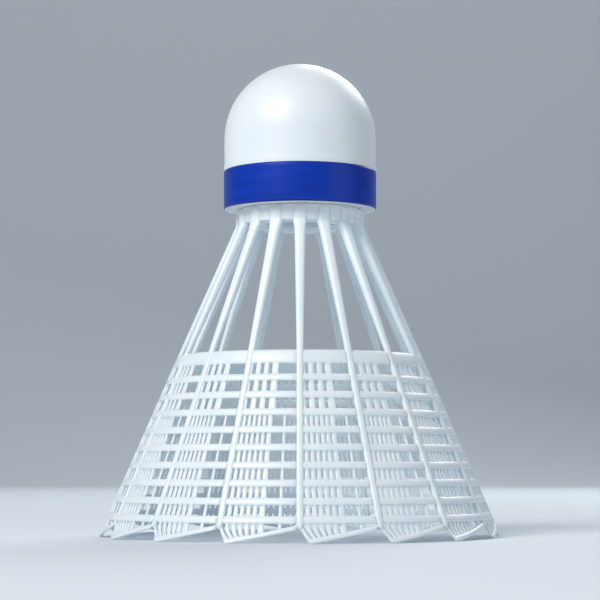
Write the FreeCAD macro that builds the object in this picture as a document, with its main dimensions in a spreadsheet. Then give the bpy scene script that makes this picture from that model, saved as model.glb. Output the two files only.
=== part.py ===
import FreeCAD, Part
import os
import Sketcher

# A plastic badminton shuttlecock, nose up, standing on the tips of its skirt. +Z runs up the axis of
# the shuttlecock, through the nose. Z = 0 is the plane of the hem tips, and the origin is on the axis.
# All lengths are in millimetres and all angles in degrees. Angles are counted from +X, about +Z.

STEMS = 16                      # stems round the skirt, with one vane between each two
PITCH = 360 / STEMS             # angle from one stem to the next
FIRST_STEM = -90                # the first stem stands at the front, on -Y

# alias, value, meaning
DIMENSIONS = [
    ("nose_top", 81.5, "hem tips to the tip of the nose"),
    ("base_back", 56.0, "hem tips to the flat back of the base"),
    ("base_radius", 13.1, "outside of the base's skin"),
    ("skin", 0.5, "wall of the base's skin"),
    ("dome_height", 13.0, "height of the rounded nose"),
    ("band_height", 6.8, "width of the coloured band"),
    ("band_wall", 0.2, "thickness of the band"),
    ("band_gap", 1.2, "angle left open where the band's ends meet"),
    ("plug_radius", 7.5, "outside of the skirt's plug"),
    ("barb_radius", 7.9, "edge of the plug's barbs, and the wall of the socket in the core"),
    ("plug_wall", 1.3, "wall of the hollow plug"),
    ("plug_height", 12.0, "back of the base to the closed end of the plug"),
    ("plug_end", 1.2, "thickness of the plug's closed end"),
    ("barb_first", 1.6, "back of the base to the foot of the first barb"),
    ("barb_pitch", 3.0, "foot of one barb to the foot of the next"),
    ("barb_rise", 1.8, "length of a barb's slope"),
    ("disc_radius", 6.0, "radius of the balance disc"),
    ("disc_wall", 0.6, "thickness of the balance disc"),
    ("flange_radius", 11.1, "collar flange that the stems grow from"),
    ("flange_wall", 2.8, "thickness of the collar flange"),
    ("flange_chamfer", 0.3, "lower outer edge of the flange"),
    ("root_width", 1.9, "width of a stem at the collar"),
    ("root_depth", 1.8, "depth of a stem at the collar"),
    ("stem_width", 1.2, "width of a stem at the lattice"),
    ("stem_proud", 0.3, "how far a stem stands out from the lattice"),
    ("stem_foot", 2.1, "height of the stems' lower ends"),
    ("lattice_top", 30.8, "height of the lattice's top edge"),
    ("top_radius", 20.8, "outside of the lattice at its top edge"),
    ("hem_radius", 34.2, "outside of the lattice in the plane of the hem tips"),
    ("wall", 0.6, "thickness of the lattice"),
    ("row_pitch", 2.83, "one row of holes to the next"),
    ("hole_height", 1.65, "height of a hole"),
    ("row_top", 28.5, "top of the highest row of holes"),
    ("rim", 0.75, "solid rim along the hem"),
    ("slot_angle", 0.55, "angle that a narrow slot spans"),
    ("slot_first", -9.96, "angle from a vane's middle to its first narrow slot"),
    ("slot_pitch", 1.884, "angle from one narrow slot to the next"),
    ("window_angle", 3.8, "angle that the inner window spans"),
    ("window_middle", 3.39, "angle from a vane's middle to the inner window's middle"),
    ("edge_window_angle", 4.5, "angle that the window beside the stem spans"),
    ("edge_window_middle", 8.53, "angle from a vane's middle to that window's middle"),
    ("hole_angle", 1.35, "angle that a small hole of the top rows spans"),
    ("hole_first", -8.39, "angle from a vane's middle to its first small hole"),
    ("hole_pitch", 3.57, "angle from one small hole to the next"),
    ("top_window_angle", 8.2, "angle that the one window of the top rows spans"),
    ("top_window_middle", 6.42, "angle from a vane's middle to that window's middle"),
    ("tip_start", -8.7, "angle from a vane's middle to the near end of the hem tip"),
    ("tip_end", -7.4, "angle from a vane's middle to the far end of the hem tip"),
    ("half_pitch", PITCH / 2, "half the angle between two stems"),
]
SLOTS = 6                       # narrow slots across a vane
TOP_HOLES = 3                   # small holes across a vane in the top rows
TOP_ROWS = 3                    # rows with small holes
LOWER_ROWS = 6                  # full rows with narrow slots, above the last row, which follows the hem
BARBS = 3                       # barbs round the plug
CLEAR = 3.0                     # how far a cutting outline passes the material it cuts

doc = FreeCAD.newDocument("shuttlecock")
dims = doc.addObject("Spreadsheet::Sheet", "dims")
for row, (alias, value, meaning) in enumerate(DIMENSIONS, start=1):
    dims.set(f"A{row}", meaning)
    dims.set(f"B{row}", str(value))
    dims.setAlias(f"B{row}", alias)
doc.recompute()


# ---------------------------------------------------------------- sketch and feature helpers

def origin_part(body, role):
    """The body's own origin plane or axis of that role."""
    return [item for item in body.Origin.OriginFeatures if item.Role == role][0]


def turned_about_z(angle):
    """A placement turned by an angle about the shuttlecock's axis."""
    return FreeCAD.Placement(FreeCAD.Vector(0, 0, 0), FreeCAD.Rotation(FreeCAD.Vector(0, 0, 1), angle))


def new_sketch(body, name, role):
    """A sketch on one of the body's origin planes."""
    sketch = body.newObject("Sketcher::SketchObject", name)
    sketch.AttachmentSupport = [(origin_part(body, role), "")]
    sketch.MapMode = "FlatFace"
    return sketch


def add_outline(sketch, corners):
    """A closed polygon whose corners are pairs of expressions, each bound to the sheet."""
    points = [FreeCAD.Vector(float(sketch.evalExpression(across)), float(sketch.evalExpression(up)), 0)
              for across, up in corners]
    edges = [sketch.addGeometry(Part.LineSegment(point, points[(place + 1) % len(points)]), False)
             for place, point in enumerate(points)]
    for place, edge in enumerate(edges):
        sketch.addConstraint(Sketcher.Constraint("Coincident", edge, 2, edges[(place + 1) % len(edges)], 1))
    for edge, point, (across, up) in zip(edges, points, corners):
        bind_corner(sketch, edge, "DistanceX", -2, across, point.x)
        bind_corner(sketch, edge, "DistanceY", -1, up, point.y)


def bind_corner(sketch, edge, kind, axis, expression, value):
    """Hold the start of an edge on an axis, or at the distance from it that the expression gives."""
    if expression == "0":
        sketch.addConstraint(Sketcher.Constraint("PointOnObject", edge, 1, axis))
        return
    number = sketch.addConstraint(Sketcher.Constraint(kind, -1, 1, edge, 1, value))
    name = f"{kind.lower()}_{edge}"
    sketch.renameConstraint(number, name)
    sketch.setExpression(f"Constraints.{name}", expression)


def rectangle(low_x, high_x, low_y, high_y):
    """Corners of an upright rectangle."""
    return [(low_x, low_y), (high_x, low_y), (high_x, high_y), (low_x, high_y)]


def set_to(item, **expressions):
    """Bind properties of an object to expressions on the sheet."""
    for name, expression in expressions.items():
        item.setExpression(name, expression)


def cylinder(name, radius, height, low):
    """An upright cylinder on the axis, from expressions."""
    item = doc.addObject("Part::Cylinder", name)
    set_to(item, Radius=radius, Height=height)
    item.setExpression("Placement.Base.z", low)
    return item


def half_ellipsoid(name, radius, height, low):
    """The upper half of an ellipsoid on the axis, from expressions."""
    item = doc.addObject("Part::Ellipsoid", name)
    set_to(item, Radius1=height, Radius2=radius, Radius3=radius)
    item.Angle1 = 0
    item.Angle2 = 90
    item.setExpression("Placement.Base.z", low)
    return item


def joined(name, base, tool):
    """Two solids made one."""
    item = doc.addObject("Part::Fuse", name)
    item.Base = base
    item.Tool = tool
    return item


def cut(name, base, tool):
    """One solid with another taken out of it."""
    item = doc.addObject("Part::Cut", name)
    item.Base = base
    item.Tool = tool
    return item


def cut_through(body, sketch, name):
    """A pocket both ways through the body."""
    pocket = body.newObject("PartDesign::Pocket", name)
    pocket.Profile = sketch
    pocket.Type = "ThroughAll"
    pocket.Midplane = True
    return pocket


# ---------------------------------------------------------------- the base: core, skin, band, disc

def nose_shape(name, radius, height):
    """A cylinder that ends in half an ellipsoid, standing on the back of the base."""
    shoulder = "dims.nose_top - dims.dome_height"
    barrel = cylinder(name + "_barrel", radius, f"{shoulder} - dims.base_back", "dims.base_back")
    dome = half_ellipsoid(name + "_dome", radius, height, shoulder)
    return joined(name, barrel, dome)


def make_base_core():
    """The foam core: the nose shape inside the skin, with a round socket for the plug in its back."""
    solid = nose_shape("core_blank", "dims.base_radius - dims.skin", "dims.dome_height - dims.skin")
    socket = cylinder("core_socket", "dims.barb_radius", "dims.plug_height + dims.disc_wall",
                      "dims.base_back")
    return cut("base_core", solid, socket)


def make_base_cover():
    """The skin over the core, open at the back."""
    outside = nose_shape("cover_outside", "dims.base_radius", "dims.dome_height")
    inside = nose_shape("cover_inside", "dims.base_radius - dims.skin", "dims.dome_height - dims.skin")
    return cut("base_cover", outside, inside)


def make_speed_band():
    """The tape round the back of the base. Its two ends almost meet at the back, on +Y."""
    outside = cylinder("band_outside", "dims.base_radius + dims.band_wall", "dims.band_height",
                       "dims.base_back")
    outside.Placement = turned_about_z(90)
    set_to(outside, Angle="360 - dims.band_gap")
    outside.setExpression("Placement.Base.z", "dims.base_back")
    inside = cylinder("band_inside", "dims.base_radius", "dims.band_height", "dims.base_back")
    return cut("speed_band", outside, inside)


def make_balance_disc():
    """The small weight between the plug's end and the bottom of the core's socket."""
    return cylinder("balance_disc", "dims.disc_radius", "dims.disc_wall", "dims.base_back + dims.plug_height")


# ---------------------------------------------------------------- the skirt: collar, stems, vanes

def make_skirt_collar():
    """A flange under the base with a hollow barbed plug on it, turned from one outline."""
    body = doc.addObject("PartDesign::Body", "skirt_collar")
    sketch = new_sketch(body, "collar_outline", "XZ_Plane")
    bore = "dims.plug_radius - dims.plug_wall"
    underside = "dims.base_back - dims.flange_wall"
    corners = [
        (bore, underside),
        ("dims.flange_radius - dims.flange_chamfer", underside),
        ("dims.flange_radius", f"{underside} + dims.flange_chamfer"),
        ("dims.flange_radius", "dims.base_back"),
        ("dims.plug_radius", "dims.base_back"),
    ]
    for barb in range(BARBS):
        foot = f"dims.base_back + dims.barb_first + {barb} * dims.barb_pitch"
        corners.append(("dims.plug_radius", foot))
        corners.append(("dims.barb_radius", foot))
        corners.append(("dims.plug_radius", f"{foot} + dims.barb_rise"))
    end = "dims.base_back + dims.plug_height"
    corners.append(("dims.plug_radius", end))
    corners.append(("0", end))
    corners.append(("0", f"{end} - dims.plug_end"))
    corners.append((bore, f"{end} - dims.plug_end"))
    add_outline(sketch, corners)
    turned = body.newObject("PartDesign::Revolution", "collar_turned")
    turned.Profile = sketch
    turned.ReferenceAxis = (origin_part(body, "Z_Axis"), [""])
    turned.Angle = 360
    return body


def make_stem():
    """A tapered rod through three upright rectangles: at the collar, the lattice's top and the foot."""
    body = doc.addObject("PartDesign::Body", "stem_01")
    foot_radius = ("dims.hem_radius - (dims.hem_radius - dims.top_radius) * dims.stem_foot / dims.lattice_top"
                   " + dims.stem_proud")
    lattice_depth = "dims.wall + 2 * dims.stem_proud"
    sections = [
        ("root", "dims.flange_radius", "dims.root_depth", "dims.root_width",
         "dims.base_back - dims.flange_wall"),
        ("waist", "dims.top_radius + dims.stem_proud", lattice_depth, "dims.stem_width",
         "dims.lattice_top"),
        ("foot", foot_radius, lattice_depth, "dims.stem_width", "dims.stem_foot"),
    ]
    sketches = []
    for name, outside, depth, width, level in sections:
        sketch = new_sketch(body, "stem_" + name, "XY_Plane")
        sketch.setExpression("AttachmentOffset.Base.z", level)
        add_outline(sketch, rectangle(f"{outside} - ({depth})", outside, f"-{width} / 2", f"{width} / 2"))
        sketches.append(sketch)
    rod = body.newObject("PartDesign::AdditiveLoft", "stem_rod")
    rod.Profile = sketches[0]
    rod.Sections = sketches[1:]
    rod.Ruled = True
    body.Placement = turned_about_z(FIRST_STEM)
    return body


def hem_height(angle):
    """The hem's height on its long side, rising evenly from the tip to the next stem."""
    return f"(dims.stem_foot * ({angle} - dims.tip_end) / (dims.half_pitch - dims.tip_end))"


def across_hem(angle):
    """Distance sideways from a vane's middle, at the hem, of an angle from it."""
    return f"dims.hem_radius * sin({angle})"


def cut_hole_columns(body, name, rows, first_row, width, first_column, columns=1, pitch=None):
    """Cut one column of holes right through the wall, then repeat it down the rows and round the vane."""
    top = f"dims.row_top - {first_row} * dims.row_pitch"
    sketch = new_sketch(body, name + "_outline", "XZ_Plane")
    sketch.setExpression("AttachmentOffset.Rotation.Yaw", "0")
    sketch.setExpression("AttachmentOffset.Rotation.Pitch", first_column)
    add_outline(sketch, rectangle(f"dims.top_radius - {CLEAR}", f"dims.hem_radius + {CLEAR}",
                                  f"{top} - dims.hole_height", top))
    hole = body.newObject("PartDesign::Groove", name)
    hole.Profile = sketch
    hole.ReferenceAxis = (origin_part(body, "Z_Axis"), [""])
    hole.Midplane = True
    hole.setExpression("Angle", width)
    grid = body.newObject("PartDesign::MultiTransform", name + "_grid")
    grid.Originals = [hole]
    down = body.newObject("PartDesign::LinearPattern", name + "_rows")
    down.Direction = (origin_part(body, "Z_Axis"), [""])
    down.Reversed = True
    down.Mode = "Spacing"
    down.setExpression("Offset", "dims.row_pitch")
    down.Occurrences = rows
    steps = [down]
    if columns > 1:
        around = body.newObject("PartDesign::PolarPattern", name + "_columns")
        around.Axis = (origin_part(body, "Z_Axis"), [""])
        around.Mode = "Spacing"
        around.setExpression("Offset", pitch)
        around.Occurrences = columns
        steps.append(around)
    grid.Transformations = steps
    body.Tip = grid
    return grid


def make_vane():
    """One panel of the lattice: part of a cone, cut clear of its two stems, with a slanted hem and rows
    of holes. It is made about +X and then turned into its place."""
    body = doc.addObject("PartDesign::Body", "vane_01")
    features = []

    wall = new_sketch(body, "vane_wall", "XZ_Plane")
    add_outline(wall, [("dims.hem_radius - dims.wall", "0"), ("dims.hem_radius", "0"),
                       ("dims.top_radius", "dims.lattice_top"),
                       ("dims.top_radius - dims.wall", "dims.lattice_top")])
    cone = body.newObject("PartDesign::Revolution", "vane_cone")
    cone.Profile = wall
    cone.ReferenceAxis = (origin_part(body, "Z_Axis"), [""])
    cone.Midplane = True
    cone.setExpression("Angle", "2 * dims.half_pitch")
    features.append(cone)

    # The sides are flat and lie on the flat sides of the stems, so they are parallel to the stems.
    sides = new_sketch(body, "vane_sides", "XY_Plane")
    near = f"dims.top_radius - {CLEAR}"
    far = f"dims.hem_radius + {CLEAR}"
    for sign in ("-", ""):
        def beside(radius, shift):
            return (f"({radius}) * cos(dims.half_pitch) + ({shift}) * sin(dims.half_pitch)",
                    f"{sign}(({radius}) * sin(dims.half_pitch) - ({shift}) * cos(dims.half_pitch))")
        add_outline(sides, [beside(near, "dims.stem_width / 2"), beside(far, "dims.stem_width / 2"),
                            beside(far, f"-{CLEAR}"), beside(near, f"-{CLEAR}")])
    features.append(cut_through(body, sides, "side_cuts"))

    hem = new_sketch(body, "hem_outline", "YZ_Plane")
    outer = across_hem(f"(dims.half_pitch + {CLEAR})")
    add_outline(hem, [(f"-{outer}", f"-{CLEAR}"), (f"-{outer}", "dims.stem_foot"),
                      (across_hem("-(dims.half_pitch)"), "dims.stem_foot"),
                      (across_hem("dims.tip_start"), "0"), (across_hem("dims.tip_end"), "0"),
                      (across_hem("dims.half_pitch"), "dims.stem_foot"),
                      (outer, "dims.stem_foot"), (outer, f"-{CLEAR}")])
    features.append(cut_through(body, hem, "hem_cut"))

    # The last row of holes reaches down to the rim of the slanted hem.
    last = new_sketch(body, "last_row_outline", "YZ_Plane")
    last_top = f"dims.row_top - {TOP_ROWS + LOWER_ROWS} * dims.row_pitch"
    spans = [(f"(dims.slot_first + {slot} * dims.slot_pitch)", "dims.slot_angle") for slot in range(1, SLOTS)]
    spans.append(("dims.window_middle", "dims.window_angle"))
    for middle, width in spans:
        low = f"({middle} - {width} / 2)"
        high = f"({middle} + {width} / 2)"
        add_outline(last, [(across_hem(low), f"{hem_height(low)} + dims.rim"),
                           (across_hem(high), f"{hem_height(high)} + dims.rim"),
                           (across_hem(high), last_top), (across_hem(low), last_top)])
    features.append(cut_through(body, last, "last_row"))

    features.append(cut_hole_columns(body, "slot", LOWER_ROWS, TOP_ROWS, "dims.slot_angle",
                                     "dims.slot_first", SLOTS, "dims.slot_pitch"))
    features.append(cut_hole_columns(body, "window", LOWER_ROWS, TOP_ROWS, "dims.window_angle",
                                     "dims.window_middle"))
    features.append(cut_hole_columns(body, "edge_window", LOWER_ROWS, TOP_ROWS,
                                     "dims.edge_window_angle", "dims.edge_window_middle"))
    features.append(cut_hole_columns(body, "top_hole", TOP_ROWS, 0, "dims.hole_angle",
                                     "dims.hole_first", TOP_HOLES, "dims.hole_pitch"))
    features.append(cut_hole_columns(body, "top_window", TOP_ROWS, 0, "dims.top_window_angle",
                                     "dims.top_window_middle"))
    body.Placement = turned_about_z(FIRST_STEM + PITCH / 2)
    return body, features


def make_twin(first, number):
    """The same piece again, so many pitches further round the skirt."""
    name = first.Label.replace("01", f"{number:02d}")
    twin = doc.addObject("Part::Compound", name)
    twin.Links = [first]
    twin.Placement = turned_about_z((number - 1) * PITCH)
    return twin


first_stem = make_stem()
first_vane, vane_features = make_vane()
nodes = [make_base_core(), make_base_cover(), make_speed_band(), make_balance_disc(), make_skirt_collar(),
         first_stem, first_vane]
for number in range(2, STEMS + 1):
    nodes.append(make_twin(first_stem, number))
    nodes.append(make_twin(first_vane, number))
doc.recompute()

# ---------------------------------------------------------------- checks and files

for item in doc.Objects:
    bad = [state for state in item.State if state in ("Invalid", "Error")]
    if bad:
        raise RuntimeError(f"{item.Label} is {bad}")
for node in nodes:
    if node.Shape.isNull() or not node.Shape.isValid() or len(node.Shape.Solids) != 1:
        raise RuntimeError(f"{node.Label} is not one valid solid")
for before, after in zip(vane_features, vane_features[1:]):
    if not after.Shape.Volume < before.Shape.Volume:
        raise RuntimeError(f"{after.Label} cut nothing")

os.makedirs("parts", exist_ok=True)
for node in nodes:
    node.Shape.exportStep(os.path.join("parts", node.Label + ".step"))
    print(f"{node.Label:14s} {node.Shape.Volume:9.1f} mm3  {len(node.Shape.Faces):4d} faces")
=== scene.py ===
import math

import bpy
import numpy as np
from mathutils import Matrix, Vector


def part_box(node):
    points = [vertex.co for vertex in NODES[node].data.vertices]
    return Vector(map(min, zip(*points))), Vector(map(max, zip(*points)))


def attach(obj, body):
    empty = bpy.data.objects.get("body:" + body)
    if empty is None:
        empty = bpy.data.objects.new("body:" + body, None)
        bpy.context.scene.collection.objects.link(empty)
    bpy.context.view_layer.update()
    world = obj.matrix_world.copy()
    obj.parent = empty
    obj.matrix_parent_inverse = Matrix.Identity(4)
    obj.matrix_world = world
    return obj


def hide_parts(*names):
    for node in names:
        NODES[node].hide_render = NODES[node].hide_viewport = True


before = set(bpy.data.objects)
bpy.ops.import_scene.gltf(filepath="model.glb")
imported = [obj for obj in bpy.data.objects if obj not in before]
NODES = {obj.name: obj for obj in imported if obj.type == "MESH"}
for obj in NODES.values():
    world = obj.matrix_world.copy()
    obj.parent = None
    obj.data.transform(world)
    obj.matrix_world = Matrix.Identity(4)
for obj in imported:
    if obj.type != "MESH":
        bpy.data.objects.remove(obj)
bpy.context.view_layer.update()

# A plastic badminton shuttlecock, nose up on the tips of its skirt. Lengths are in metres, as in the frame.
# The skirt is a lattice of round-edged bars on a cone, between sixteen tapered stems.

MM = 0.001
TURN = 2 * math.pi
STEMS = 16
PITCH = TURN / STEMS
FRONT = -TURN / 4                                    # the first stem stands at the front, on -Y


# ------------------------------------------------------------------ sizes, read from the frame

def node_points(node):
    """The corner points of a CAD node's mesh, as radius and height columns."""
    mesh = NODES[node].data
    points = np.zeros(len(mesh.vertices) * 3)
    mesh.vertices.foreach_get("co", points)
    points = points.reshape(-1, 3)
    return np.hypot(points[:, 0], points[:, 1]), points[:, 2]


cover_low, cover_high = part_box("base_cover")
core_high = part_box("base_core")[1]
band_low, band_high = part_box("speed_band")
collar_low, collar_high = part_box("skirt_collar")
stem_low, stem_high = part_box("stem_01")
vane_radius, vane_height = node_points("vane_01")

BASE_R = cover_high.x
BASE_BACK = cover_low.z
NOSE_TOP = cover_high.z
SKIN = cover_high.x - core_high.x
BAND_R = band_high.x
BAND_TOP = band_high.z
FLANGE_R = collar_high.x
FLANGE_LOW = collar_low.z
PLUG_TOP = collar_high.z
STEM_FOOT = stem_low.z
ROOT_WIDTH = stem_high.x - stem_low.x
LATTICE_TOP = vane_height.max()
HEM_R = vane_radius[vane_height < 0.1 * MM].max()
TOP_R = vane_radius[vane_height > LATTICE_TOP - 0.1 * MM].max()
WALL = HEM_R - vane_radius[vane_height < 0.1 * MM].min()
FLARE = (HEM_R - TOP_R) / LATTICE_TOP                # how fast the skirt widens on the way down


def cone_radius(height):
    """Radius of the middle of the lattice's wall at a height."""
    return HEM_R - WALL / 2 - FLARE * height


# ------------------------------------------------------------------ meshes

def new_piece(name, points, quads, triangles, material, replaced):
    """A smooth piece that rides on the root body, from arrays of points and faces."""
    mesh = bpy.data.meshes.new(name)
    mesh.from_pydata(points.tolist(), [], quads.tolist() + triangles.tolist())
    mesh.polygons.foreach_set("use_smooth", np.ones(len(mesh.polygons), bool))
    mesh.materials.append(material)
    piece = bpy.data.objects.new(name, mesh)
    bpy.context.scene.collection.objects.link(piece)
    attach(piece, "root")
    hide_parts(*replaced)
    return piece


def add_uv(piece, across, along):
    """A UV map whose two numbers are lengths on the piece's surface, in metres, given per point."""
    mesh = piece.data
    corners = np.zeros(len(mesh.loops), np.int64)
    mesh.loops.foreach_get("vertex_index", corners)
    layer = mesh.uv_layers.new(name="surface")
    layer.data.foreach_set("uv", np.column_stack((across[corners], along[corners])).ravel())


def grid_quads(index):
    """The quads between neighbouring rows and columns of a 2D array of point numbers."""
    return np.stack((index[:-1, :-1], index[:-1, 1:], index[1:, 1:], index[1:, :-1]), axis=-1).reshape(-1, 4)


def fan(centre, ring):
    """Triangles from one point to a closed ring of point numbers."""
    return np.stack((np.full(len(ring), centre), ring, np.roll(ring, -1)), axis=-1)


def turned(name, radius, height, material, replaced):
    """A surface of revolution: row i of the 2D arrays radius and height is a ring, column j lies at the
    angle j / columns of a turn. The first and last ring have no radius and become single points, so
    the shape is closed. Rows that run from the top point outwards and back to the axis face out."""
    rows, columns = radius.shape
    angle = TURN * np.arange(columns) / columns
    rings = np.stack((radius * np.cos(angle), radius * np.sin(angle), height), axis=-1)
    index = np.arange(1, 1 + (rows - 2) * columns).reshape(rows - 2, columns)
    last = 1 + (rows - 2) * columns
    points = np.vstack((rings[0, :1], rings[1:-1].reshape(-1, 3), rings[-1, :1]))
    quads = grid_quads(np.column_stack((index, index[:, 0])))[:, ::-1]
    caps = np.vstack((fan(0, index[0]), fan(last, index[-1])[:, ::-1]))
    return new_piece(name, points, quads, caps, material, replaced)


def arc(centre_r, centre_z, size_r, size_z, start, end, steps):
    """Points of an elliptical arc in the radius and height plane, from one angle to another."""
    angle = np.radians(np.linspace(start, end, steps))
    return np.column_stack((centre_r + size_r * np.cos(angle), centre_z + size_z * np.sin(angle)))


def straight(start, end, steps):
    """Evenly spaced points on a straight line, without its two ends."""
    share = np.linspace(0, 1, steps + 2)[1:-1, None]
    return np.array(start) * (1 - share) + np.array(end) * share


def rounded(corners, radii, steps=5):
    """An open outline through corners, each rounded by its own radius with a quadratic curve."""
    corners = np.array(corners, float)
    pieces = [corners[:1]]
    share = np.linspace(0, 1, steps)[:, None]
    for before, corner, after, size in zip(corners, corners[1:], corners[2:], radii):
        enter = corner + (before - corner) * size / np.linalg.norm(before - corner)
        leave = corner + (after - corner) * size / np.linalg.norm(after - corner)
        pieces.append((1 - share) ** 2 * enter + 2 * share * (1 - share) * corner + share ** 2 * leave)
    pieces.append(corners[-1:])
    return np.vstack(pieces)


def bulge(place, power=2.6):
    """A round-edged bar's outline: 1 in the middle, 0 at -1 and 1, by the superellipse formula."""
    return np.where(np.abs(place) > 0.9999, 0, np.maximum(0, 1 - np.abs(place) ** power) ** (1 / power))


# ------------------------------------------------------------------ materials

def material(name, colour, roughness, **sockets):
    """A principled material with its even values set on the shader."""
    made = bpy.data.materials.new(name)
    made.use_nodes = True
    shader = made.node_tree.nodes["Principled BSDF"]
    shader.inputs["Base Color"].default_value = (*colour, 1)
    shader.inputs["Roughness"].default_value = roughness
    for socket, value in sockets.items():
        shader.inputs[socket.replace("_", " ")].default_value = value
    return made


def node(made, kind, **inputs):
    """A node of a material, with some of its inputs set by name."""
    new = made.node_tree.nodes.new(kind)
    for socket, value in inputs.items():
        new.inputs[socket].default_value = value
    return new


def link(made, source, target):
    """One link of a material's tree."""
    made.node_tree.links.new(source, target)


def place_on(made, which="Object"):
    """The coordinates that a material's patterns read."""
    return node(made, "ShaderNodeTexCoord").outputs[which]


def stretched(made, place, scale):
    """Coordinates stretched by a scale for each axis."""
    mapping = node(made, "ShaderNodeMapping", Scale=scale)
    link(made, place, mapping.inputs["Vector"])
    return mapping.outputs["Vector"]


def noise(made, place, scale, detail=3.0):
    """Soft noise, as a height from 0 to 1."""
    made_noise = node(made, "ShaderNodeTexNoise", Scale=scale, Detail=detail)
    link(made, place, made_noise.inputs["Vector"])
    return made_noise.outputs["Fac"]


def cells(made, place, scale):
    """Round cells, as the distance to the nearest cell's middle."""
    made_cells = node(made, "ShaderNodeTexVoronoi", Scale=scale)
    link(made, place, made_cells.inputs["Vector"])
    return made_cells.outputs["Distance"]


def add_bumps(made, *bumps):
    """A chain of bumps, each a height and the distance it stands out, feeding the shader's normal."""
    normal = None
    for height, distance in bumps:
        bump = node(made, "ShaderNodeBump", Strength=1.0, Distance=distance)
        link(made, height, bump.inputs["Height"])
        if normal:
            link(made, normal, bump.inputs["Normal"])
        normal = bump.outputs["Normal"]
    link(made, normal, made.node_tree.nodes["Principled BSDF"].inputs["Normal"])


def blend_colour(made, height, low, high, low_colour, high_colour):
    """Base colour that goes from one colour to another as a height goes from low to high."""
    ramp = node(made, "ShaderNodeValToRGB")
    ramp.color_ramp.elements[0].position = low
    ramp.color_ramp.elements[1].position = high
    ramp.color_ramp.elements[0].color = (*low_colour, 1)
    ramp.color_ramp.elements[1].color = (*high_colour, 1)
    link(made, height, ramp.inputs["Fac"])
    link(made, ramp.outputs["Color"], made.node_tree.nodes["Principled BSDF"].inputs["Base Color"])


def blend_roughness(made, height, smooth, rough):
    """Roughness that goes from smooth to rough as a height goes from 0.3 to 0.7."""
    spread = node(made, "ShaderNodeMapRange")
    spread.inputs["From Min"].default_value = 0.3
    spread.inputs["From Max"].default_value = 0.7
    spread.inputs["To Min"].default_value = smooth
    spread.inputs["To Max"].default_value = rough
    link(made, height, spread.inputs["Value"])
    link(made, spread.outputs["Result"], made.node_tree.nodes["Principled BSDF"].inputs["Roughness"])


def moulded_nylon():
    """Milky white nylon: light goes a little way in, and the mould leaves a fine satin skin."""
    made = material("moulded_nylon", (0.82, 0.91, 0.96), 0.36,
                    Subsurface_Weight=0.35, Subsurface_Radius=(1.0, 1.1, 1.25),
                    Subsurface_Scale=1.2 * MM, Specular_IOR_Level=0.55)
    place = place_on(made)
    cloud = noise(made, place, 140.0, 2.0)
    blend_colour(made, cloud, 0.35, 0.65, (0.78, 0.885, 0.95), (0.85, 0.925, 0.97))
    blend_roughness(made, noise(made, place, 420.0), 0.30, 0.44)
    add_bumps(made, (noise(made, place, 2600.0), 0.010 * MM), (noise(made, place, 380.0), 0.03 * MM))
    return made


def base_skin():
    """Thin white coated skin: a fine even grain and a soft sheen that varies a little."""
    made = material("base_skin", (0.84, 0.89, 0.92), 0.42,
                    Subsurface_Weight=0.12, Subsurface_Radius=(1.0, 0.9, 0.85),
                    Subsurface_Scale=0.8 * MM, Coat_Weight=0.12, Coat_Roughness=0.3)
    place = place_on(made)
    blend_colour(made, noise(made, place, 90.0), 0.35, 0.68, (0.80, 0.865, 0.91), (0.86, 0.90, 0.93))
    blend_roughness(made, noise(made, place, 260.0), 0.36, 0.50)
    add_bumps(made, (cells(made, place, 2300.0), 0.016 * MM), (noise(made, place, 300.0), 0.02 * MM))
    return made


def band_tape():
    """Glossy coloured tape, with fine stretch marks round the base that follow its UV map."""
    made = material("band_tape", (0.001, 0.035, 0.38), 0.36, Specular_IOR_Level=0.22,
                    Coat_Weight=0.08, Coat_Roughness=0.2)
    place = place_on(made, "UV")
    blend_colour(made, noise(made, stretched(made, place, (60.0, 400.0, 1.0)), 1.0), 0.35, 0.7,
                 (0.0005, 0.030, 0.34), (0.002, 0.042, 0.43))
    marks = noise(made, stretched(made, place, (140.0, 2600.0, 1.0)), 1.0)
    add_bumps(made, (marks, 0.018 * MM), (noise(made, stretched(made, place, (260.0, 260.0, 1.0)), 1.0),
                                          0.05 * MM))
    return made


def core_foam():
    """White closed-cell foam, with small bubbles cut open on its faces."""
    made = material("core_foam", (0.74, 0.76, 0.77), 0.85)
    place = place_on(made)
    bubbles = cells(made, place, 1100.0)
    blend_colour(made, bubbles, 0.1, 0.6, (0.56, 0.57, 0.58), (0.78, 0.80, 0.81))
    add_bumps(made, (bubbles, 0.12 * MM), (noise(made, place, 3200.0), 0.04 * MM))
    return made


def stamped_steel():
    """Dull stamped steel with fine rolling lines."""
    made = material("stamped_steel", (0.60, 0.61, 0.63), 0.35, Metallic=1.0)
    place = place_on(made)
    lines = noise(made, stretched(made, place, (6000.0, 150.0, 150.0)), 1.0)
    blend_roughness(made, lines, 0.28, 0.45)
    add_bumps(made, (lines, 0.006 * MM))
    return made


def studio_paper():
    """The matt paper of the floor and its backdrop."""
    made = material("studio_paper", (0.72, 0.77, 0.82), 0.9)
    add_bumps(made, (noise(made, place_on(made), 900.0), 0.02 * MM))
    return made


NYLON = moulded_nylon()
SKIN_WHITE = base_skin()
TAPE_BLUE = band_tape()
FOAM = core_foam()
STEEL = stamped_steel()
PAPER = studio_paper()


# ------------------------------------------------------------------ base

ROUND_STEPS = 192                                    # points round the turned pieces
DOME_HEIGHT = 13.0 * MM
SHOULDER = NOSE_TOP - DOME_HEIGHT                    # where the straight side ends and the nose begins
ROLL = SKIN / 2                                      # the skin's cut edge at the back is rounded over
SWELL = 0.07 * MM                                    # the skin stands out a little just above the tape
SWELL_RISE = 0.55 * MM                               # from the tape's edge to the middle of the swelling
SWELL_REACH = 0.45 * MM


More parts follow.
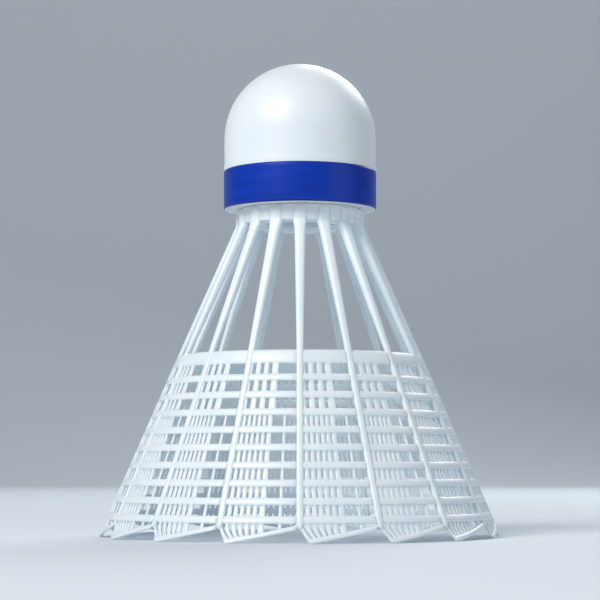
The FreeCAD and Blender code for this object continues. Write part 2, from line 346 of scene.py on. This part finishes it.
def make_cover():
    """The skin: an ellipse's quarter down from the nose, the straight side with a slight swelling above
    the tape, a rounded edge, and the same line back up inside."""
    nose = arc(0, SHOULDER, BASE_R, DOME_HEIGHT, 90, 0, 64)
    side = straight((BASE_R, SHOULDER), (BASE_R, BASE_BACK + ROLL), 40)
    side[:, 0] += SWELL * np.exp(-((side[:, 1] - BAND_TOP - SWELL_RISE) / SWELL_REACH) ** 2)
    edge = arc(BASE_R - ROLL, BASE_BACK + ROLL, ROLL, ROLL, 0, -180, 9)
    inside = straight((BASE_R - SKIN, BASE_BACK + ROLL), (BASE_R - SKIN, SHOULDER), 6)
    hollow = arc(0, SHOULDER, BASE_R - SKIN, DOME_HEIGHT - SKIN, 0, 90, 24)
    outline = np.vstack((nose, side, edge, inside, hollow))
    outline[0, 0] = outline[-1, 0] = 0
    radius = np.repeat(outline[:, :1], ROUND_STEPS, axis=1)
    height = np.repeat(outline[:, 1:], ROUND_STEPS, axis=1)
    return turned("nose_skin", radius, height, SKIN_WHITE, ["base_cover"])


TAPE = (BAND_R - BASE_R) / 2                         # one layer, so that two fit where the tape laps
TAPE_OUT = 0.97 * TAPE
TAPE_GAP = 0.003 * MM                                # between the skin and the tape's inner face
TAPE_LOW = BASE_BACK + 0.04 * MM
TAPE_EDGE = 9.0                                      # power of the tape's section: flat with tight corners
LAP = math.radians(17)
RISE_BEFORE = math.radians(7)                        # the tape starts to rise this far before its lap
RISE_LENGTH = math.radians(6)
TAPE_STEPS, TAPE_INSIDE, TAPE_OUTSIDE = 260, 8, 18   # points along the tape and across its two faces


def make_band():
    """The tape: a flat round-edged strip carried once round the base and a little further, rising
    smoothly by its own thickness where it laps over its start at the back."""
    start = TURN / 4 - LAP / 2
    turn = np.linspace(0, TURN + LAP, TAPE_STEPS)
    rise = np.clip((turn - TURN + RISE_BEFORE) / RISE_LENGTH, 0, 1)
    rise = TAPE * rise * rise * (3 - 2 * rise)
    outer = slice(1, TAPE_OUTSIDE - 1)
    loop_z = np.concatenate((np.linspace(TAPE_LOW, BAND_TOP, TAPE_INSIDE),
                             np.linspace(BAND_TOP, TAPE_LOW, TAPE_OUTSIDE)[outer]))
    loop_out = np.concatenate((np.zeros(TAPE_INSIDE),
                               bulge(np.linspace(-1, 1, TAPE_OUTSIDE)[outer], TAPE_EDGE)))
    radius = BASE_R + TAPE_GAP + rise[:, None] + TAPE_OUT * loop_out[None, :]
    height = loop_z[None, :] + 0 * radius
    angle = start + turn[:, None] + 0 * radius
    points = np.stack((radius * np.cos(angle), radius * np.sin(angle), height), axis=-1).reshape(-1, 3)
    rows, columns = radius.shape
    index = np.arange(rows * columns).reshape(rows, columns)
    quads = grid_quads(np.column_stack((index, index[:, 0])))
    ends = []
    for ring, flip in ((index[0], False), (index[-1], True)):
        cap = np.stack((np.full(columns - 2, ring[0]), ring[1:-1], ring[2:]), axis=-1)
        ends.append(cap if flip else cap[:, ::-1])
    piece = new_piece("band_wrap", points, quads, np.vstack(ends), TAPE_BLUE,
                      ["speed_band"])
    add_uv(piece, (angle * BASE_R).ravel(), height.ravel())
    return piece


PLUG = 7.5 * MM
BORE = 6.2 * MM
BARB = 7.88 * MM
BARB_FIRST = 1.6 * MM                                # back of the base to the foot of the first barb
BARB_PITCH = 3.0 * MM
BARB_RISE = 1.8 * MM
END_WALL = 1.2 * MM                                  # the plug's closed end
FLANGE = FLANGE_R - 0.28 * MM                        # the flange lies a little behind the stems
FLANGE_TOP = BASE_BACK - 0.02 * MM
MOUTH_WIDE, MOUTH_NARROW = 0.9 * MM, 0.45 * MM       # the bore's mouth is stepped: how far past the bore
GATE, GATE_DEPTH = 1.3 * MM, 0.5 * MM                # the gate mark on the closed end, seen up the bore
SOFT = 0.28 * MM                                     # the usual rounding of a moulded edge
BORE_RIBS, BORE_RIB = 8, 0.35 * MM


def make_collar():
    """The skirt's collar and plug, turned from one outline. The flange has soft edges and lies a little
    behind the stems, the plug has three barbs, and shallow ribs stand round its bore."""
    corners = [(0, PLUG_TOP), (PLUG, PLUG_TOP)]
    radii = [0.4 * MM]
    for place in (2, 1, 0):
        foot = BASE_BACK + BARB_FIRST + place * BARB_PITCH
        corners += [(PLUG, foot + BARB_RISE), (BARB, foot), (PLUG, foot)]
        radii += [SOFT / 2, SOFT / 4, SOFT / 2]
    end = PLUG_TOP - END_WALL
    corners += [(PLUG, FLANGE_TOP), (FLANGE, FLANGE_TOP), (FLANGE, FLANGE_LOW),
                (BORE + MOUTH_WIDE, FLANGE_LOW), (BORE + MOUTH_NARROW, FLANGE_LOW + MOUTH_NARROW),
                (BORE, FLANGE_LOW + MOUTH_NARROW), (BORE, end),
                (GATE, end), (GATE * 0.8, end - GATE_DEPTH), (0, end - GATE_DEPTH)]
    radii += [SOFT / 2, SOFT, SOFT, SOFT / 2, SOFT / 2, SOFT / 2, 1.0 * MM, SOFT / 2, SOFT / 2]
    outline = rounded(corners, radii)
    radius = np.repeat(outline[:, :1], ROUND_STEPS, axis=1)
    height = np.repeat(outline[:, 1:], ROUND_STEPS, axis=1)
    angle = TURN * np.arange(ROUND_STEPS) / ROUND_STEPS
    ribs = BORE_RIB * np.clip(4 * np.cos(BORE_RIBS * angle) - 3, 0, 1)
    in_bore = (np.abs(radius - BORE) < 0.01 * MM) & (height > FLANGE_LOW + 0.5 * MM)
    radius = np.where(in_bore, radius - ribs, radius)
    return turned("collar_moulding", radius, height, NYLON, ["skirt_collar"])


# ------------------------------------------------------------------ stems

STEM_WIDTH = 1.12 * MM
STEM_DEPTH = WALL + 0.36 * MM
ROOT_DEPTH = 1.8 * MM
ROOT_TOP = BASE_BACK - 0.25 * MM                     # where a stem's root ends as a rib on the collar
ROOT_ROUND = 0.5 * MM                                # length over which the rib's end is rounded
ROOT_FLARE = 0.55 * MM                               # how much wider a stem gets on the collar
FLARE_LENGTH = 2.2 * MM
FOOT_ROUND = 0.8 * MM                                # length over which the foot is rounded off
STEM_POWER = 2.9                                     # power of a stem's section: between round and square
STEM_AROUND = 24


def make_stem(number):
    """A tapered rod from the collar to the hem. Each ring is a superellipse, its width and depth read from
    its height: slim at the lattice, thicker and flared at the root, rounded off at the foot and where it
    ends as a rib on the collar."""
    foot_top = STEM_FOOT + FOOT_ROUND
    ending = np.linspace(0.15, 1, 7) * TURN / 4
    starting = np.linspace(0.15, 1, 5) * TURN / 4
    height = np.concatenate((ROOT_TOP - ROOT_ROUND * (1 - np.cos(starting)),
                             np.linspace(ROOT_TOP - 0.8 * MM, FLANGE_LOW - 3.0 * MM, 16),
                             np.linspace(FLANGE_LOW - 4.0 * MM, LATTICE_TOP, 14),
                             np.linspace(LATTICE_TOP - 1.5 * MM, foot_top, 18),
                             STEM_FOOT + FOOT_ROUND * np.cos(ending)))
    outside = np.interp(height, [STEM_FOOT, LATTICE_TOP, FLANGE_LOW],
                        [cone_radius(STEM_FOOT) + STEM_DEPTH / 2, cone_radius(LATTICE_TOP) + STEM_DEPTH / 2,
                         FLANGE_R])
    upper = np.clip((height - LATTICE_TOP) / (FLANGE_LOW - LATTICE_TOP), 0, 1)
    flare = np.clip((height - FLANGE_LOW + FLARE_LENGTH) / FLARE_LENGTH, 0, 1) ** 2
    width = STEM_WIDTH + (ROOT_WIDTH - STEM_WIDTH) * upper + ROOT_FLARE * flare
    depth = STEM_DEPTH + (ROOT_DEPTH - STEM_DEPTH) * upper
    tip = np.sqrt(np.clip(1 - ((foot_top - height) / FOOT_ROUND), 0, 1))
    closing = np.where(height < foot_top, tip, 1.0)
    shoulder = np.clip((height - ROOT_TOP + ROOT_ROUND) / ROOT_ROUND, 0, 1)
    closing = closing * np.sqrt(1 - 0.6 * shoulder ** 2)
    angle = TURN * np.arange(STEM_AROUND) / STEM_AROUND
    side = np.sign(np.sin(angle)) * np.abs(np.sin(angle)) ** (2 / STEM_POWER)
    out = np.sign(np.cos(angle)) * np.abs(np.cos(angle)) ** (2 / STEM_POWER)
    radial = (outside - depth / 2)[:, None] + (depth * closing / 2)[:, None] * out
    sideways = (width * closing / 2)[:, None] * side
    level = height[:, None] + 0 * radial
    turn = FRONT + number * PITCH
    points = np.stack((radial * math.cos(turn) - sideways * math.sin(turn),
                       radial * math.sin(turn) + sideways * math.cos(turn), level), axis=-1)
    count = len(height) * STEM_AROUND
    index = np.arange(count).reshape(len(height), STEM_AROUND)
    points = np.vstack((points.reshape(-1, 3), points[0].mean(axis=0), points[-1].mean(axis=0)))
    quads = grid_quads(np.column_stack((index, index[:, 0])))[:, ::-1]
    caps = np.vstack((fan(count, index[0]), fan(count + 1, index[-1])[:, ::-1]))
    name = f"{number + 1:02d}"
    return new_piece("rod_" + name, points, quads, caps, NYLON, ["stem_" + name])


# ------------------------------------------------------------------ vanes

# Across a vane, places are shares of the way from one stem's middle to the next.
DEGREE = STEMS / 360
ROW_PITCH = 2.83 * MM
HOLE_HEIGHT = 1.65 * MM
FIRST_ROW = 28.5 * MM                                # top of the highest row of holes
ROWS = 10
TOP_ROWS = 3                                         # these have small square holes and one window
RIM = 0.75 * MM
EDGE = (0.006, 0.994)                                # the bars end inside the stems
SLOT = 0.55 * DEGREE
SLOTS = 0.0573 + 1.884 * DEGREE * np.arange(6)
WINDOWS = [(0.5665, 0.7355), (0.779, EDGE[1])]
HOLE = 1.35 * DEGREE
TOP_HOLES = 0.127 + 3.57 * DEGREE * np.arange(3)
TOP_WINDOW = (0.603, EDGE[1])
TIP = (0.113, 0.171)                                 # the flat of each hem tip
HEM_END = 0.97                                       # where the hem is back at the height of a stem's foot
LEAN_PLACES = (0.147, 0.135)                         # how far the first slot's two sides lean at the hem
LEAN_END = 0.46                                      # bars past this place don't lean
LOW_HOLES = [(middle - SLOT / 2, middle + SLOT / 2) for middle in SLOTS] + WINDOWS
HIGH_HOLES = [(middle - HOLE / 2, middle + HOLE / 2) for middle in TOP_HOLES] + [TOP_WINDOW]
NARROWEST = 0.0012                                   # no column of points lies nearer to a hole's side
END = 0.003                                          # length over which a bar closes inside a stem
ACROSS_BAR = np.array([-1, -0.9, -0.55, 0, 0.55, 0.9, 1])
ACROSS_RING = np.array([-1, -0.95, -0.75, -0.4, 0, 0.4, 0.75, 0.95, 1])
RING_OUT, RING_IN = 0.38 * MM, 0.28 * MM             # a ring bar's reach outwards and inwards from the middle
BAR_OUT, BAR_IN = 0.16 * MM, 0.26 * MM               # an upright bar lies further in


def bars_between(holes):
    """The solid stretches between holes, as pairs of ends, from edge to edge."""
    ends = [EDGE[0]] + [end for hole in holes for end in hole] + [EDGE[1]]
    return [pair for pair in zip(ends[::2], ends[1::2]) if pair[1] - pair[0] > 1e-6]


def spread(pair, places):
    """Places from -1 to 1 laid between the two ends of a stretch."""
    return (pair[0] + pair[1]) / 2 + (pair[1] - pair[0]) / 2 * places


def bar_bulge(place, bars):
    """How far the bars stand out at each place, from 0 in the holes to 1 along a bar's middle."""
    total = np.zeros_like(place)
    for low, high in bars:
        total = np.maximum(total, bulge(np.clip((2 * place - low - high) / (high - low), -1, 1)))
    return total


def hem_line(place):
    """Height of the hem below each column: level along the tip, then rising evenly to the next stem."""
    moved = place + hem_shift(place)
    return STEM_FOOT * np.clip((moved - TIP[1]) / (HEM_END - TIP[1]), 0, None)


def hem_shift(place):
    """How far each column has leaned by the time it reaches the hem: the first ones follow the slanted side
    of the tooth and the later ones hardly lean."""
    return np.interp(place, [EDGE[0], *LOW_HOLES[0], LEAN_END], [TIP[0] - EDGE[0], *LEAN_PLACES, 0])


def make_lattice():
    """One vane as a closed surface over a grid of columns (places between the stems) and rows (heights).
    The wall's middle lies on a cone. Its outer and inner faces stand off the middle by the larger of a
    ring bar's and an upright bar's outline, so they meet at every hole's edge, where cells are left out."""
    low_bars, high_bars = bars_between(LOW_HOLES), bars_between(HIGH_HOLES)
    ends = np.unique([end for bar in low_bars + high_bars for end in bar])
    between = [spread(bar, ACROSS_BAR[1:-1]) for bar in low_bars + high_bars]
    between += [np.linspace(*hole, 4)[1:-1] for hole in WINDOWS + [TOP_WINDOW]]
    between += [np.array(EDGE) + (END, -END)]
    between = np.unique(np.concatenate(between))
    clear = np.abs(between[:, None] - ends[None, :]).min(axis=1) > NARROWEST
    columns = np.sort(np.concatenate((ends, between[clear])))

    # Each row of points is a level between a line above and a line below, and a place across a ring bar.
    hem = hem_line(columns)
    levels, ring_places, high_part, hole_row = [], [], [], []
    top = LATTICE_TOP
    for row in range(ROWS + 1):
        hole_top = FIRST_ROW - row * ROW_PITCH
        last = row == ROWS
        ring = (hem + RIM, hem) if last else (top + 0 * hem, hole_top + 0 * hem)
        share = (ACROSS_RING[:, None] + 1) / 2
        levels.append(ring[0] * (1 - share) + ring[1] * share)
        ring_places.append(ACROSS_RING)
        high_part += [row < TOP_ROWS or (row == TOP_ROWS and place < 0) for place in ACROSS_RING]
        hole_row += [False] * (len(ACROSS_RING) - 1)
        if not last:
            floor = hem + RIM if row == ROWS - 1 else hole_top - HOLE_HEIGHT + 0 * hem
            share = np.array([[0.34], [0.67]])
            levels.append((hole_top + 0 * hem) * (1 - share) + floor * share)
            ring_places.append(np.array([1.0, 1.0]))
            high_part += [row < TOP_ROWS] * 2
            hole_row += [True] * 3
            top = hole_top - HOLE_HEIGHT
    level = np.vstack(levels)
    ring_place = np.concatenate(ring_places)
    high_part = np.array(high_part)

    ring = bulge(ring_place)[:, None]
    bar = np.where(high_part[:, None], bar_bulge(columns, high_bars), bar_bulge(columns, low_bars))
    inside = np.ones(level.shape)
    inside[[0, -1], :] = inside[:, [0, -1]] = 0
    outwards = np.maximum(RING_OUT * ring, BAR_OUT * bar) * inside
    inwards = np.maximum(RING_IN * ring, BAR_IN * bar) * inside

    lean = np.clip((STEM_FOOT - level) / STEM_FOOT, 0, 1)
    place = columns + hem_shift(columns) * lean
    angle = PITCH * place
    middle = cone_radius(level)
    shells = [np.stack(((middle + reach) * np.cos(angle), (middle + reach) * np.sin(angle), level), axis=-1)
              for reach in (outwards, -inwards)]

    count = level.size
    outer = np.arange(count).reshape(level.shape)
    inner = np.where(outwards + inwards < 1e-9, outer, outer + count)
    centre = (columns[:-1] + columns[1:]) / 2
    open_low = np.any([(centre > low) & (centre < high) for low, high in LOW_HOLES], axis=0)
    open_high = np.any([(centre > low) & (centre < high) for low, high in HIGH_HOLES], axis=0)
    in_hole = np.array(hole_row)[:, None] & np.where(high_part[:-1, None], open_high, open_low)
    solid = ~in_hole.reshape(-1)
    quads = np.vstack((grid_quads(outer)[solid][:, ::-1], grid_quads(inner)[solid]))
    points = np.vstack([shell.reshape(-1, 3) for shell in shells])
    used = np.unique(quads)
    renumber = np.zeros(len(points), np.int64)
    renumber[used] = np.arange(len(used))
    return points[used], renumber[quads]


def make_vane(number, points, quads):
    """The lattice turned into its place between two stems."""
    turn = FRONT + number * PITCH
    spin = np.array([[math.cos(turn), math.sin(turn), 0], [-math.sin(turn), math.cos(turn), 0], [0, 0, 1]])
    name = f"{number + 1:02d}"
    return new_piece("lattice_" + name, points @ spin, quads, np.zeros((0, 3), int), NYLON,
                     ["vane_" + name])


# ------------------------------------------------------------------ the shuttlecock

make_cover()
make_band()
make_collar()
lattice_points, lattice_quads = make_lattice()
for number in range(STEMS):
    make_stem(number)
    make_vane(number, lattice_points, lattice_quads)
for name, finish in (("base_core", FOAM), ("balance_disc", STEEL)):
    mesh = NODES[name].data
    mesh.materials.clear()
    mesh.materials.append(finish)


# ------------------------------------------------------------------ stage, lights, camera

def make_stage():
    """The floor, which curves up into a backdrop behind the shuttlecock."""
    spread_out, reach, bend, rise = 30.0, 0.75, 0.35, 1.3
    front = np.array([[-spread_out, 0.0], [reach, 0.0]])
    curve = np.radians(np.linspace(-90, 0, 24)[1:])
    corner = np.column_stack((reach + bend * np.cos(curve), bend + bend * np.sin(curve)))
    line = np.vstack((front, corner, [[reach + bend, rise + bend]]))
    across = np.array([-spread_out, spread_out])
    points = np.stack(np.broadcast_arrays(across[None, :], line[:, :1], line[:, 1:]), axis=-1).reshape(-1, 3)
    index = np.arange(len(line) * 2).reshape(len(line), 2)
    mesh = bpy.data.meshes.new("paper_sweep")
    mesh.from_pydata(points.tolist(), [], grid_quads(index).tolist())
    mesh.polygons.foreach_set("use_smooth", np.ones(len(mesh.polygons), bool))
    mesh.materials.append(PAPER)
    paper = bpy.data.objects.new("paper_sweep", mesh)
    bpy.context.scene.collection.objects.link(paper)


def soft_box(name, place, aim, size, power, colour=(1, 1, 1)):
    """A square area light at a place, turned to face a point."""
    light = bpy.data.lights.new(name, "AREA")
    light.shape = "RECTANGLE"
    light.size, light.size_y = size
    light.energy = power
    light.color = colour
    lamp = bpy.data.objects.new(name, light)
    bpy.context.scene.collection.objects.link(lamp)
    lamp.location = place
    lamp.rotation_euler = direction(place, aim)


def direction(place, aim):
    """The rotation that points a lamp or a camera from one place at another."""
    return (Vector(aim) - Vector(place)).to_track_quat("-Z", "Y").to_euler()


make_stage()
MIDDLE = (0, 0, NOSE_TOP / 2)
soft_box("key", (-0.45, -0.55, 0.6), MIDDLE, (0.4, 0.4), 6.2, (1.0, 0.99, 0.98))
soft_box("fill", (0.7, -0.35, 0.25), MIDDLE, (0.5, 0.6), 0.7, (0.88, 0.94, 1.0))
soft_box("back", (0.25, 0.55, 0.5), MIDDLE, (0.5, 0.3), 2.6, (0.95, 0.98, 1.0))
world = bpy.data.worlds.new("studio")
world.use_nodes = True
world.node_tree.nodes["Background"].inputs["Color"].default_value = (0.86, 0.92, 1.0, 1)
world.node_tree.nodes["Background"].inputs["Strength"].default_value = 0.24
bpy.context.scene.world = world
bpy.context.scene.view_settings.view_transform = "Standard"

CAMERA_PLACE = (0, -0.344, 0.0124)                   # low, so that the view goes slightly up
CAMERA_AIM = (0, 0, 0.0405)
camera = bpy.data.cameras.new("camera")
camera.lens = 120.0
camera.clip_start = 0.01
eye = bpy.data.objects.new("camera", camera)
bpy.context.scene.collection.objects.link(eye)
eye.location = CAMERA_PLACE
eye.rotation_euler = direction(CAMERA_PLACE, CAMERA_AIM)
bpy.context.scene.camera = eye
